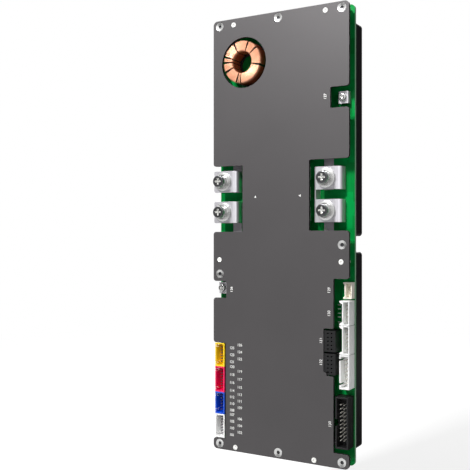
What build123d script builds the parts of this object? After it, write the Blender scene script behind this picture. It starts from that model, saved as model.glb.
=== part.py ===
from build123d import *
import os

os.makedirs("parts", exist_ok=True)

# Battery management board, in millimetres. X runs to the right and Z up, as seen from the
# front, and Y runs from the front plate to the heatsinks. X = 0 and Z = 0 are the middle of
# the front plate, and Y = 0 is the middle of the whole depth. A value named height with a
# place is measured up from the plate's lower edge, a drop down from its upper edge, and an
# inset in from its nearer side.

# Front plate
plate_width = 102.0
plate_height = 300.0
plate_thickness = 2.0
plate_corner_radius = 3.0
plate_front_y = -8.6
notch_mouth_radius = 2.0
notch_inner_radius = 0.8

# Circuit board, held behind the plate on pillars
board_gap = 8.0
board_thickness = 2.0

# Plate screws and the pillars that they go into
plate_screw_diameter = 3.0
plate_screw_head_diameter = 6.0
plate_screw_head_height = 1.7
plate_screw_length = 8.0
plate_screw_socket_width = 2.0
plate_screw_socket_depth = 1.1
plate_screw_clearance = 0.2
thread_clearance = 0.05
pillar_width = 5.5
pillar_shank_diameter = 4.2
edge_screw_inset = 5.0
end_screw_inset = 4.0
left_middle_screw_distance = 35.6
right_middle_screw_distance = 14.7

# White spacer pegs between plate and board
peg_tip_diameter = 3.4
peg_body_diameter = 5.0
peg_clearance = 0.05
peg_tip_stand = 0.3
peg_dimple_diameter = 1.1
peg_dimple_depth = 0.8
top_peg_inset = 16.4
top_peg_drop = 4.25
left_peg_inset = 4.9
left_peg_rise = 9.9
right_peg_inset = 5.5
right_peg_fall = 11.0
low_left_peg_inset = 17.8
low_right_peg_inset = 24.5
low_peg_height = 2.8

# Heatsinks and the pads in front of them
pad_thickness = 1.0
pad_margin = 1.5
heatsink_depth = 9.5
heatsink_base = 3.5
heatsink_corner_radius = 2.5
heatsink_flank = 1.5
upper_heatsink_drop = 11.0
lower_heatsink_height = 10.0
heatsink_gap = 10.0
heatsink_strap_distance = 19.4
fin_thickness = 1.6
inner_fin_count = 11
outer_fin_count = 1
land_distance = 3.3
land_width = 10.0

# Tapped holes in the backs of the heatsinks, for fixing the whole board
rear_hole_diameter = 3.3
rear_hole_depth = 6.0
rear_hole_spacing_z = 90.0

# Screws that pull the heatsinks against the board
heatsink_screw_diameter = 3.0
heatsink_screw_length = 7.5
heatsink_screw_head_diameter = 5.5
heatsink_screw_head_height = 2.0
heatsink_screw_clearance = 0.2
heatsink_cross_length = 3.0
heatsink_hole_spare = 0.5
heatsink_screw_inset = 5.0
strap_screw_distance = 15.2

# Power terminals: bent straps, each with a screw, two washers and a nut
strap_thickness = 1.5
strap_width = 15.0
strap_pitch = 21.4
strap_height = 7.5
strap_rise = 57.2
strap_outer_bend = 4.4
strap_inner_bend = 1.8
strap_corner_radius = 1.0
left_strap_overhang = 1.0
left_strap_reach = 17.5
left_screw_inset = 6.6
right_strap_inset = 6.6
right_strap_length = 19.2
right_screw_distance = 8.9
left_notch_clearance = 6.0
left_notch_low_margin = 6.2
left_notch_high_margin = 3.2
right_notch_clearance = 2.3
right_notch_low_margin = 5.6
right_notch_high_margin = 4.6
right_bus_bar_distance = 7.8
bus_bar_width = 6.8
bus_bar_thickness = 0.8
bus_bar_overhang = 9.8

terminal_screw_diameter = 5.0
terminal_head_diameter = 8.2
terminal_head_height = 4.6
terminal_head_chamfer = 0.55
terminal_screw_length = 8.9
terminal_hole_clearance = 0.2
cross_width = 1.3
cross_length = 4.8
cross_depth = 2.2
spring_washer_diameter = 9.6
spring_washer_thickness = 1.6
spring_washer_gap = 0.9
spring_washer_split_angle = 72
flat_washer_diameter = 13.0
flat_washer_thickness = 1.6
washer_clearance = 0.25
nut_width = 8.0
nut_height = 3.6

# Small screw tabs: battery sense at the right edge, heater at the left edge
tab_width = 7.2
tab_length = 8.0
tab_height = 4.0
tab_thickness = 0.8
tab_bend = 1.4
tab_screw_diameter = 3.0
tab_head_diameter = 5.2
tab_head_height = 2.2
tab_head_rounding = 0.8
tab_screw_length = 2.6
tab_cross_width = 0.9
tab_cross_length = 3.0
tab_cross_depth = 1.2
tab_nut_height = 1.6
sense_tab_inset = 6.7
sense_tab_rise = 44.5
sense_notch_clearance = 2.7
sense_notch_low_margin = 3.2
sense_notch_high_margin = 2.3
heater_tab_inset = 3.9
heater_tab_fall = 10.2
heater_notch_clearance = 2.9
heater_notch_low_margin = 2.6
heater_notch_high_margin = 1.1

# Ring choke in the round window
window_clearance = 2.8
choke_screw_distance = 11.4
choke_screw_fall = 15.2
core_outer_diameter = 26.4
core_inner_diameter = 17.6
core_height = 9.0
winding_build = 1.35
winding_corner = 1.3
winding_clearance = 0.05
choke_base_thickness = 1.2
choke_base_margin = 0.4
choke_base_hole = 13.0
# Each bundle of turns: its first and last angle, from +X towards +Z
winding_sector_angles = [
    (-76, -6),
    (1, 36),
    (42, 66),
    (72, 112),
    (118, 158),
    (164, 174),
    (180, 202),
    (210, 250),
    (256, 264),
]

# Cell connectors, from the top down
cell_connector_colours = ["yellow", "red", "blue", "white"]
cell_pin_counts = [6, 7, 6, 7]
cell_connector_lengths = [16.5, 17.7, 15.3, 16.5]
cell_connector_height_above = 8.0
cell_connector_seam = 0.1
cell_connector_width = 7.6
cell_connector_height = 9.9
cell_connector_wall = 0.9
cell_connector_depth = 7.6
cell_connector_inset = 1.2
cell_connector_slot = 1.4
cell_connector_slot_depth = 5.3
cell_notch_clearance = 1.2
cell_notch_margin = 0.3
cell_pin_pitch = 2.0
pin_width = 0.6
pin_height = 6.0

# Signal connectors along the right edge
signal_inset = 0.2
signal_notch_clearance = 1.1
signal_notch_low_margin = 3.0
signal_notch_high_margin = 2.4
display_pin_count = 4
display_pitch = 1.5
display_length = 10.6
display_width = 5.0
display_height = 5.0
display_depth = 3.6
display_ear = 1.0
display_ear_length = 1.6
display_pin_height = 2.7
ear_flat_share = 0.45
display_seam = 1.1
slim_lengths = [15.75, 18.45]
slim_pin_counts = [5, 6]
slim_pitch = 2.5
slim_width = 4.9
slim_height = 9.4
slim_wall = 0.7
slim_depth = 7.0
slim_ear = 1.9
slim_ear_length = 2.2
wide_length = 22.0
wide_pin_count = 7
wide_pitch = 2.5
wide_width = 6.8
wide_depth = 7.2
wide_slot_width = 1.3
wide_slot_inset = 3.2
connector_seam = 0.3

# Box header with two rows of pins, below the signal connectors
header_bottom_height = 12.5
header_gap = 5.0
header_pin_count = 10
header_pitch = 2.54
header_end = 8.0
header_width = 8.9
header_height = 9.6
header_wall = 1.1
header_depth = 6.8
header_inset = 0.8
header_key_width = 4.5
header_key_depth = 5.0
header_pin_height = 6.0

# Two black sockets in the recess of the signal notch
socket_inset = 13.5
socket_width = 8.0
socket_drop_from_slim = 19.6
socket_length = 13.8
socket_names = ["upper", "lower"]
socket_gap = 1.1
socket_height = 9.7
socket_key_width = 2.0
socket_key_height = 1.8
socket_pin_count = 5
socket_pitch = 2.54
socket_row_pitch = 2.54
socket_hole_width = 0.9
socket_hole_depth = 5.0
contact_width = 0.5
contact_height = 3.0
recess_clearance = 0.25
recess_top_margin = 1.3
recess_low_margin = 0.7

# Electronics hidden between the plate and the board
transistor_body_width = 10.0
transistor_body_length = 9.0
transistor_height = 4.5
transistor_tab_length = 1.6
transistor_tab_width = 9.0
transistor_tab_thickness = 1.3
transistor_lead_length = 4.6
transistor_lead_width = 0.9
transistor_lead_pitch = 2.54
transistor_lead_thickness = 0.5
transistor_pitch = 13.6
transistor_rise = 0.6
transistor_high_drop = 62.5
transistor_column_x = 13.5
gap_pad_margin = 1.0
shunt_length = 12.0
shunt_width = 6.4
shunt_height = 1.6
shunt_foot = 2.4
shunt_thickness = 0.6
shunt_column_x = 9.0
shunt_fall = 16.4
chip_height = 1.5
chip_stand = 0.2
chip_lead_length = 1.0
chip_lead_pitch = 1.27
controller_width = 14.0
controller_lead_count = 10
controller_lead_pitch = 1.2
controller_x = 6.0
controller_height_above = 88.0
monitor_width = 7.5
monitor_length = 14.0
monitor_lead_count = 10
monitor_distance = 9.0
monitor_heights = [58.0, 28.0]
isolator_width = 7.5
isolator_length = 10.2
isolator_lead_count = 7
isolator_inset = 27.0
isolator_heights = [114.0, 98.0, 50.0, 32.0]
supply_width = 6.0
supply_length = 5.0
supply_lead_count = 4
supply_x = -2.0
supply_drop = 42.0
can_diameter = 6.3
can_height = 5.8
can_base_width = 6.6
can_base_height = 1.3
can_spacing = 2.4
can_row_pitch = 12.0
can_inset = 14.3
can_drop = 38.0
can_row_counts = [3, 2]
coil_width = 12.0
coil_height = 5.6
coil_corner_radius = 1.5
coil_drop = 26.0
resistor_length = 6.3
resistor_width = 3.1
resistor_height = 0.8
resistor_row_count = 8
resistor_pitch = 8.2
resistor_distances = [7.0, 14.5]
resistor_high_height = 72.0

# Worked out from the sizes above
plate_back_y = plate_front_y + plate_thickness
board_front_y = plate_back_y + board_gap
board_back_y = board_front_y + board_thickness
heatsink_front_y = board_back_y + pad_thickness
heatsink_back_y = heatsink_front_y + heatsink_depth
left_edge_x = -plate_width / 2
right_edge_x = plate_width / 2
low_edge_z = -plate_height / 2
high_edge_z = plate_height / 2
near = 0.01

cell_stack = sum(cell_connector_lengths) + cell_connector_seam * (len(cell_connector_colours) - 1)
cell_connector_top_z = low_edge_z + cell_connector_height_above + cell_stack
cell_notch_depth = cell_connector_inset + cell_connector_width + cell_notch_clearance

header_length = header_pin_count * header_pitch + header_end
header_low_x = right_edge_x - header_inset - header_width
header_bottom_z = low_edge_z + header_bottom_height
header_top_z = header_bottom_z + header_length
slim_stack = sum(slim_lengths) + connector_seam * len(slim_lengths) + wide_length
slim_top_z = header_top_z + header_gap + slim_stack
display_top_z = slim_top_z + display_seam + display_length
signal_notch_depth = header_inset + header_width + signal_notch_clearance
signal_notch_high_z = display_top_z + signal_notch_high_margin
signal_notch_low_z = header_bottom_z - signal_notch_low_margin
socket_x = right_edge_x - socket_inset
socket_top_z = slim_top_z - socket_drop_from_slim
socket_stack = len(socket_names) * (socket_length + socket_gap) - socket_gap
socket_bottom_z = socket_top_z - socket_stack
recess_depth = socket_inset + socket_width / 2 + recess_clearance
recess_key_z = socket_bottom_z + socket_key_height - recess_clearance

strap_middle_z = display_top_z + strap_rise
strap_heights = [strap_middle_z - strap_pitch / 2, strap_middle_z + strap_pitch / 2]
straps_low_z = strap_heights[0] - strap_width / 2
straps_high_z = strap_heights[1] + strap_width / 2
strap_face_y = board_front_y - strap_height
left_screw_x = left_edge_x + left_screw_inset
right_strap_high_x = right_edge_x - right_strap_inset
right_strap_low_x = right_strap_high_x - right_strap_length
right_screw_x = right_strap_low_x + right_screw_distance
left_power_notch_depth = left_strap_reach + left_notch_clearance
right_power_notch_depth = right_edge_x - right_strap_low_x + right_notch_clearance

screw_column_x = right_edge_x - edge_screw_inset
screw_row_z = high_edge_z - end_screw_inset
left_middle_screw_z = straps_low_z - left_middle_screw_distance
right_middle_screw_z = straps_low_z - right_middle_screw_distance
screw_places = [(x, z) for x in (-screw_column_x, 0, screw_column_x) for z in (-screw_row_z, screw_row_z)]
screw_places += [(-screw_column_x, left_middle_screw_z), (screw_column_x, right_middle_screw_z)]
peg_places = [
    (left_edge_x + top_peg_inset, high_edge_z - top_peg_drop),
    (right_edge_x - top_peg_inset, high_edge_z - top_peg_drop),
    (left_edge_x + left_peg_inset, left_middle_screw_z + left_peg_rise),
    (right_edge_x - right_peg_inset, right_middle_screw_z - right_peg_fall),
    (left_edge_x + low_left_peg_inset, low_edge_z + low_peg_height),
    (right_edge_x - low_right_peg_inset, low_edge_z + low_peg_height),
]

sense_tab_x = right_edge_x - sense_tab_inset
sense_tab_z = straps_high_z + sense_tab_rise
sense_notch_depth = sense_tab_inset + tab_width / 2 + sense_notch_clearance
heater_tab_x = left_edge_x + heater_tab_inset
heater_tab_z = left_middle_screw_z - heater_tab_fall
heater_notch_depth = heater_tab_inset + tab_width / 2 + heater_notch_clearance

lower_heatsink_low_z = low_edge_z + lower_heatsink_height
lower_heatsink_high_z = straps_low_z - heatsink_strap_distance
upper_heatsink_low_z = lower_heatsink_high_z + heatsink_gap
upper_heatsink_high_z = high_edge_z - upper_heatsink_drop
land_x = header_low_x - land_distance
upper_screw_heights = [
    straps_high_z + strap_screw_distance,
    upper_heatsink_high_z - heatsink_screw_inset,
]
lower_screw_heights = [
    lower_heatsink_low_z + heatsink_screw_inset,
    lower_heatsink_high_z - heatsink_screw_inset,
]
heatsink_screw_places = [
    (side * land_x, z)
    for side in (-1, 1)
    for z in upper_screw_heights + lower_screw_heights
]

choke_x = choke_screw_distance - land_x
choke_z = upper_screw_heights[1] - choke_screw_fall
winding_diameter = core_outer_diameter + 2 * (winding_build + winding_clearance)
choke_base_diameter = winding_diameter + 2 * choke_base_margin
window_diameter = winding_diameter + 2 * window_clearance


# Shapes that several pieces share

def panel(outline, front_y, depth):
    """Extrude an outline drawn in X and Z from front_y back by depth."""
    return extrude(Plane.XZ.offset(-(front_y + depth)) * outline, depth)


def block(x, z, width, height, front_y, depth):
    """A plain block, given by the middle of its front face."""
    return panel(Pos(x, z) * Rectangle(width, height), front_y, depth)


def rod(x, z, diameter, front_y, depth):
    """A round rod along Y."""
    return panel(Pos(x, z) * Circle(diameter / 2), front_y, depth)


def cross_recess(x, z, width, length, front_y, depth):
    """The cut of a cross-head driver."""
    upright = block(x, z, width, length, front_y, depth)
    level = block(x, z, length, width, front_y, depth)
    return upright + level


def save(name, *solids):
    """Write one node, as one solid or as a group of separate solids."""
    shape = solids[0] if len(solids) == 1 else Compound(children=list(solids))
    shape.label = name
    export_step(shape, os.path.join("parts", name + ".step"))


# Front plate with its notches, window and countersunk holes

def same_points(face, wanted):
    """The vertices of a face that lie where the wanted ones lie."""
    return [v for v in face.vertices() if any(v.distance_to(w) < near for w in wanted)]


def edge_notch(side, depth, low_z, high_z):
    """A rectangle that cuts into the plate from its left or right edge."""
    edge = left_edge_x if side < 0 else right_edge_x
    middle = Pos(edge - side * depth / 2, (low_z + high_z) / 2)
    return middle * Rectangle(depth, high_z - low_z)


# Side (1 is right, -1 is left), depth, lowest Z and highest Z of each notch; the last two
# are the recess for the sockets, with a step that follows the lower socket's cut corner
notches = [
    (1, sense_notch_depth, sense_tab_z - tab_length / 2 - sense_notch_low_margin,
     sense_tab_z + tab_length / 2 + sense_notch_high_margin),
    (1, right_power_notch_depth, straps_low_z - right_notch_low_margin,
     straps_high_z + right_notch_high_margin),
    (-1, left_power_notch_depth, straps_low_z - left_notch_low_margin,
     straps_high_z + left_notch_high_margin),
    (-1, heater_notch_depth, heater_tab_z - tab_length / 2 - heater_notch_low_margin,
     heater_tab_z + tab_length / 2 + heater_notch_high_margin),
    (-1, cell_notch_depth, cell_connector_top_z - cell_stack - cell_notch_margin,
     cell_connector_top_z + cell_notch_margin),
    (1, signal_notch_depth, signal_notch_low_z, signal_notch_high_z),
    (1, recess_depth, recess_key_z, socket_top_z + recess_top_margin),
    (1, recess_depth - socket_key_width, socket_bottom_z - recess_low_margin, socket_top_z),
]


def plate_outline():
    """The plate's face, with rounded corners, notch mouths and notch corners."""
    face = Rectangle(plate_width, plate_height)
    for notch in notches:
        face -= edge_notch(*notch)
    half = plate_width / 2
    tall = plate_height / 2
    points = face.vertices()
    corners = [v for v in points if abs(v.X) > half - near and abs(v.Y) > tall - near]
    mouths = [v for v in points if abs(v.X) > half - near and abs(v.Y) < tall - near]
    inner = [v for v in points if abs(v.X) < half - near]
    face = fillet(inner, notch_inner_radius)
    face = fillet(same_points(face, mouths), notch_mouth_radius)
    return fillet(same_points(face, corners), plate_corner_radius)


def countersunk_hole(x, z):
    """Clearance hole with a cone that the screw's head fills."""
    radius = plate_screw_diameter / 2 + plate_screw_clearance
    head_radius = plate_screw_head_diameter / 2 + plate_screw_clearance
    cone_depth = plate_screw_head_height
    shank = rod(x, z, 2 * radius, plate_front_y, plate_thickness)
    cone = Pos(x, plate_front_y + cone_depth / 2, z) * (Rot(90, 0, 0) * Cone(radius, head_radius, cone_depth))
    return shank + cone


front_plate = panel(plate_outline(), plate_front_y, plate_thickness)
front_plate -= rod(choke_x, choke_z, window_diameter, plate_front_y, plate_thickness)
for x, z in screw_places:
    front_plate -= countersunk_hole(x, z)
for x, z in peg_places:
    front_plate -= rod(x, z, peg_tip_diameter + 2 * peg_clearance, plate_front_y, plate_thickness)
save("front_plate", front_plate)


# Plate screws: countersunk, with a hexagon socket

def plate_screw(x, z):
    """One countersunk screw with its head flush in the plate."""
    shank = rod(x, z, plate_screw_diameter, plate_front_y, plate_screw_length)
    cone = Cone(plate_screw_diameter / 2, plate_screw_head_diameter / 2, plate_screw_head_height)
    head = Pos(x, plate_front_y + plate_screw_head_height / 2, z) * (Rot(90, 0, 0) * cone)
    socket_outline = Pos(x, z) * RegularPolygon(plate_screw_socket_width / 2, 6, major_radius=False)
    socket = panel(socket_outline, plate_front_y, plate_screw_socket_depth)
    return shank + head - socket


save("plate_screws", *[plate_screw(x, z) for x, z in screw_places])


# Hexagonal pillars, pressed into the board, tapped for the plate screws

def pillar(x, z):
    """One pillar with its shank in the board."""
    outline = Pos(x, z) * RegularPolygon(pillar_width / 2, 6, major_radius=False)
    body = panel(outline, plate_back_y, board_gap)
    shank = rod(x, z, pillar_shank_diameter, board_front_y, board_thickness)
    bore = rod(x, z, plate_screw_diameter + 2 * thread_clearance, plate_back_y, board_gap + board_thickness)
    return body + shank - bore


save("plate_standoffs", *[pillar(x, z) for x, z in screw_places])


# White nylon pegs that keep the plate and the board apart between the screws

def spacer_peg(x, z):
    """One peg: a body in the gap and a tip through each sheet."""
    body = rod(x, z, peg_body_diameter, plate_back_y, board_gap)
    front_tip = rod(x, z, peg_tip_diameter, plate_front_y - peg_tip_stand, plate_thickness + peg_tip_stand)
    rear_tip = rod(x, z, peg_tip_diameter, board_front_y, board_thickness)
    dimple = rod(x, z, peg_dimple_diameter, plate_front_y - peg_tip_stand, peg_dimple_depth)
    return body + front_tip + rear_tip - dimple


save("spacer_pegs", *[spacer_peg(x, z) for x, z in peg_places])


# Circuit board, with the same outline as the plate

board_outline = RectangleRounded(plate_width, plate_height, plate_corner_radius)
circuit_board = panel(board_outline, board_front_y, board_thickness)
for x, z in screw_places:
    circuit_board -= rod(x, z, pillar_shank_diameter + 2 * thread_clearance, board_front_y, board_thickness)
for x, z in peg_places:
    circuit_board -= rod(x, z, peg_tip_diameter + 2 * peg_clearance, board_front_y, board_thickness)
for x, z in heatsink_screw_places:
    hole = heatsink_screw_diameter + 2 * heatsink_screw_clearance
    circuit_board -= rod(x, z, hole, board_front_y, board_thickness)
save("circuit_board", circuit_board)


# Heatsinks: extruded fins along Z, with two wide lands for the screws

def fin_positions():
    """The middles of the thin fins, between and outside the lands."""
    inner_edge = land_x - land_width / 2
    outer_edge = land_x + land_width / 2
    inner_pitch = 2 * inner_edge / (inner_fin_count + 1)
    outer_pitch = (right_edge_x - heatsink_flank - outer_edge) / (outer_fin_count + 1)
    inner = [-inner_edge + inner_pitch * (i + 1) for i in range(inner_fin_count)]
    outer = [outer_edge + outer_pitch * (i + 1) for i in range(outer_fin_count)]
    return inner + outer + [-x for x in outer]


def heatsink(low_z, high_z, screw_heights):
    """One heatsink with its fins, rear holes and front holes."""
    height = high_z - low_z
    middle_z = (low_z + high_z) / 2
    fin_depth = heatsink_depth - heatsink_base
    fin_front_y = heatsink_front_y + heatsink_base
    body = block(0, middle_z, plate_width, height, heatsink_front_y, heatsink_base)
    for x in fin_positions():
        body += block(x, middle_z, fin_thickness, height, fin_front_y, fin_depth)
    for side in (-1, 1):
        body += block(side * land_x, middle_z, land_width, height, fin_front_y, fin_depth)
        flank_x = side * (right_edge_x - heatsink_flank / 2)
        body += block(flank_x, middle_z, heatsink_flank, height, fin_front_y, fin_depth)
    outline = Pos(0, middle_z) * RectangleRounded(plate_width, height, heatsink_corner_radius)
    body = body & panel(outline, heatsink_front_y, heatsink_depth)
    front_hole = heatsink_screw_diameter + 2 * thread_clearance
    front_hole_depth = heatsink_screw_length - board_thickness - pad_thickness + heatsink_hole_spare
    for side in (-1, 1):
        for z in screw_heights:
            body -= rod(side * land_x, z, front_hole, heatsink_front_y, front_hole_depth)
        for end in (-1, 1):
            z = middle_z + end * rear_hole_spacing_z / 2
            hole_front_y = heatsink_back_y - rear_hole_depth
            body -= rod(side * land_x, z, rear_hole_diameter, hole_front_y, rear_hole_depth)
    return body


def thermal_pad(low_z, high_z, screw_heights):
    """The soft sheet between the board and one heatsink."""
    height = high_z - low_z - 2 * pad_margin
    middle_z = (low_z + high_z) / 2
    pad = block(0, middle_z, plate_width - 2 * pad_margin, height, board_back_y, pad_thickness)
    hole = heatsink_screw_diameter + 2 * heatsink_screw_clearance
    for side in (-1, 1):
        for z in screw_heights:
            pad -= rod(side * land_x, z, hole, board_back_y, pad_thickness)
    return pad


save("upper_heatsink", heatsink(upper_heatsink_low_z, upper_heatsink_high_z, upper_screw_heights))
save("lower_heatsink", heatsink(lower_heatsink_low_z, lower_heatsink_high_z, lower_screw_heights))
save("upper_thermal_pad", thermal_pad(upper_heatsink_low_z, upper_heatsink_high_z, upper_screw_heights))
save("lower_thermal_pad", thermal_pad(lower_heatsink_low_z, lower_heatsink_high_z, lower_screw_heights))


def heatsink_screw(x, z):
    """A pan-head screw from the front of the board into a heatsink."""
    head_front_y = board_front_y - heatsink_screw_head_height
    head = rod(x, z, heatsink_screw_head_diameter, head_front_y, heatsink_screw_head_height)
    shank = rod(x, z, heatsink_screw_diameter, board_front_y, heatsink_screw_length)
    recess = cross_recess(x, z, tab_cross_width, heatsink_cross_length, head_front_y, tab_cross_depth)
    return head + shank - recess


save("heatsink_screws", *[heatsink_screw(x, z) for x, z in heatsink_screw_places])


# Power terminals: straps bent from tinned copper bar

def strap_profile(points, radii):
    """A bent bar seen along Z: its middle line, given a thickness."""
    line = FilletPolyline(*points, radius=radii)
    return trace(line, strap_thickness)


strap_middle_y = strap_face_y + strap_thickness / 2
outer_bend_middle = strap_outer_bend - strap_thickness / 2
inner_bend_middle = strap_inner_bend - strap_thickness / 2
screw_hole = terminal_screw_diameter + 2 * terminal_hole_clearance


def left_strap(z):
    """A strap that starts past the board's left edge and turns down to the bus bar."""
    start_x = left_edge_x - left_strap_overhang
    leg_x = left_edge_x + left_strap_reach - strap_thickness / 2
    foot_y = board_front_y - bus_bar_thickness
    points = [(start_x, strap_middle_y), (leg_x, strap_middle_y), (leg_x, foot_y)]
    profile = strap_profile(points, outer_bend_middle)
    strap = Pos(0, 0, z - strap_width / 2) * extrude(profile, strap_width)
    free_corners = strap.edges().filter_by(Axis.Y).filter_by(lambda e: e.center().X < start_x + near)
    strap = fillet(free_corners, strap_corner_radius)
    return strap - rod(left_screw_x, z, screw_hole, strap_face_y, strap_thickness)


def right_strap():
    """Two straps that share one upright wall on their inner side."""
    wall_x = right_strap_low_x + strap_thickness / 2
    leg_x = right_strap_high_x - strap_thickness / 2
    points = [
        (wall_x, board_front_y),
        (wall_x, strap_middle_y),
        (leg_x, strap_middle_y),
        (leg_x, board_front_y),
    ]
    profile = strap_profile(points, [inner_bend_middle, outer_bend_middle])
    whole = strap_pitch + strap_width
    bar = Pos(0, 0, straps_low_z) * extrude(profile, whole)
    gap_low_x = right_strap_low_x + strap_thickness
    gap_width = right_strap_high_x - gap_low_x
    gap_x = gap_low_x + gap_width / 2
    bar -= block(gap_x, strap_middle_z, gap_width, strap_pitch - strap_width,
                 strap_face_y, board_front_y - strap_face_y)
    for z in strap_heights:
        bar -= rod(right_screw_x, z, screw_hole, strap_face_y, strap_thickness)
    return bar


save("left_lower_terminal", left_strap(strap_heights[0]))
save("left_upper_terminal", left_strap(strap_heights[1]))
save("right_power_terminal", right_strap())

terminal_places = [(x, z) for x in (left_screw_x, right_screw_x) for z in strap_heights]
flat_washer_front_y = strap_face_y - flat_washer_thickness
spring_washer_front_y = flat_washer_front_y - spring_washer_thickness
terminal_head_front_y = spring_washer_front_y - terminal_head_height


def terminal_screw(x, z):
    """A round-head screw with a cross recess."""
    head = rod(x, z, terminal_head_diameter, terminal_head_front_y, terminal_head_height)
    rim = head.edges().filter_by(GeomType.CIRCLE).sort_by(Axis.Y)[0]
    head = chamfer(rim, terminal_head_chamfer)
    shank = rod(x, z, terminal_screw_diameter, spring_washer_front_y, terminal_screw_length)
    recess = cross_recess(x, z, cross_width, cross_length, terminal_head_front_y, cross_depth)
    return head + shank - recess


def ring(x, z, outer, inner, front_y, depth):
    """A flat ring along Y."""
    return rod(x, z, outer, front_y, depth) - rod(x, z, inner, front_y, depth)


def spring_washer(x, z):
    """A split washer."""
    inner = terminal_screw_diameter + 2 * washer_clearance
    washer = ring(x, z, spring_washer_diameter, inner, spring_washer_front_y, spring_washer_thickness)
    reach = spring_washer_diameter / 2
    slit = block(x + reach / 2, z, reach, spring_washer_gap, spring_washer_front_y, spring_washer_thickness)
    return washer - slit.rotate(Axis((x, 0, z), (0, -1, 0)), spring_washer_split_angle)


def terminal_nut(x, z):
    """The hexagonal nut behind a strap."""
    outline = Pos(x, z) * RegularPolygon(nut_width / 2, 6, major_radius=False)
    front_y = strap_face_y + strap_thickness
    bore = rod(x, z, terminal_screw_diameter + 2 * thread_clearance, front_y, nut_height)
    return panel(outline, front_y, nut_height) - bore


save("terminal_screws", *[terminal_screw(x, z) for x, z in terminal_places])
save("terminal_spring_washers", *[spring_washer(x, z) for x, z in terminal_places])
save("terminal_nuts", *[terminal_nut(x, z) for x, z in terminal_places])
save("terminal_flat_washers", *[
    ring(x, z, flat_washer_diameter, terminal_screw_diameter + 2 * washer_clearance,
         flat_washer_front_y, flat_washer_thickness)
    for x, z in terminal_places
])

# A bus bar under each strap, which runs on past it, away from the other strap

left_bus_bar_x = left_edge_x + left_strap_reach - bus_bar_width / 2
right_bus_bar_x = right_strap_low_x + right_bus_bar_distance
bus_bar_front_y = board_front_y - bus_bar_thickness
bus_bar_length = strap_width + bus_bar_overhang
bus_bar_rise = (strap_pitch + bus_bar_overhang) / 2
for name, x in (("left", left_bus_bar_x), ("right", right_bus_bar_x)):
    save(name + "_bus_bars", *[
        block(x, strap_middle_z + end * bus_bar_rise, bus_bar_width, bus_bar_length,
              bus_bar_front_y, bus_bar_thickness)
        for end in (-1, 1)
    ])


# Small screw tabs: a bridge of sheet metal on the board, with a nut inside

tab_face_y = board_front_y - tab_height
tab_nut_width = tab_width - 2 * tab_bend


def screw_tab(x, z):
    """A folded bridge with two legs."""
    low_x = x - tab_width / 2 + tab_thickness / 2
    high_x = x + tab_width / 2 - tab_thickness / 2
    middle_y = tab_face_y + tab_thickness / 2
    points = [(low_x, board_front_y), (low_x, middle_y), (high_x, middle_y), (high_x, board_front_y)]
    line = FilletPolyline(*points, radius=tab_bend - tab_thickness / 2)
    bridge = Pos(0, 0, z - tab_length / 2) * extrude(trace(line, tab_thickness), tab_length)
    return bridge - rod(x, z, tab_screw_diameter + 2 * thread_clearance, tab_face_y, tab_thickness)


def tab_screw(x, z):
    """A short cross-head screw."""
    head_front_y = tab_face_y - tab_head_height
    head = rod(x, z, tab_head_diameter, head_front_y, tab_head_height)
    rim = head.edges().filter_by(GeomType.CIRCLE).sort_by(Axis.Y)[0]
    head = fillet(rim, tab_head_rounding)
    shank = rod(x, z, tab_screw_diameter, tab_face_y, tab_screw_length)
    recess = cross_recess(x, z, tab_cross_width, tab_cross_length, head_front_y, tab_cross_depth)
    return head + shank - recess


def tab_nut(x, z):
    """The square nut inside a tab."""
    front_y = tab_face_y + tab_thickness
    nut = block(x, z, tab_nut_width, tab_nut_width, front_y, tab_nut_height)
    return nut - rod(x, z, tab_screw_diameter + 2 * thread_clearance, front_y, tab_nut_height)


tab_places = [(sense_tab_x, sense_tab_z), (heater_tab_x, heater_tab_z)]
save("battery_sense_terminal", screw_tab(sense_tab_x, sense_tab_z))
save("heater_terminal", screw_tab(heater_tab_x, heater_tab_z))
save("small_terminal_screws", *[tab_screw(x, z) for x, z in tab_places])
save("small_terminal_nuts", *[tab_nut(x, z) for x, z in tab_places])


# Ring choke: a core, bundles of turns round it, and a base on the board

choke_base_front_y = board_front_y - choke_base_thickness
winding_height = core_height + 2 * (winding_build + winding_clearance)
winding_back_y = choke_base_front_y
winding_front_y = winding_back_y - winding_height
core_front_y = winding_front_y + winding_build + winding_clearance
choke_axis = Axis((choke_x, 0, choke_z), (0, -1, 0))

save("choke_base", ring(choke_x, choke_z, choke_base_diameter, choke_base_hole,
                        choke_base_front_y, choke_base_thickness))
save("choke_core", ring(choke_x, choke_z, core_outer_diameter, core_inner_diameter,
                        core_front_y, core_height))


def winding_bundle(first, last):
    """A bundle of turns: a rounded frame round the core's section, swept through an angle."""
    radial = (core_outer_diameter - core_inner_diameter) / 2
    middle_radius = (core_outer_diameter + core_inner_diameter) / 4
    outer_width = radial + 2 * (winding_build + winding_clearance)
    outer = RectangleRounded(outer_width, winding_height, winding_corner)
    inner = Rectangle(radial + 2 * winding_clearance, core_height + 2 * winding_clearance)
    middle_y = (winding_front_y + winding_back_y) / 2
    section = Pos(choke_x + middle_radius, middle_y, choke_z) * (outer - inner)
    bundle = revolve(section, choke_axis, last - first)
    return bundle.rotate(choke_axis, first)


save("choke_winding", *[winding_bundle(first, last) for first, last in winding_sector_angles])


# Cell connectors: open boxes in a row at the left edge, each with its pins

def pin(x, z, width, floor_y, height):
    """A square contact pin that stands on a connector's floor."""
    return block(x, z, width, width, floor_y - height, height)


def shroud(x, z, width, length, height, wall, cavity_depth):
    """An open box that faces forward."""
    front_y = board_front_y - height
    body = block(x, z, width, length, front_y, height)
    return body - block(x, z, width - 2 * wall, length - 2 * wall, front_y, cavity_depth)


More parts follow.
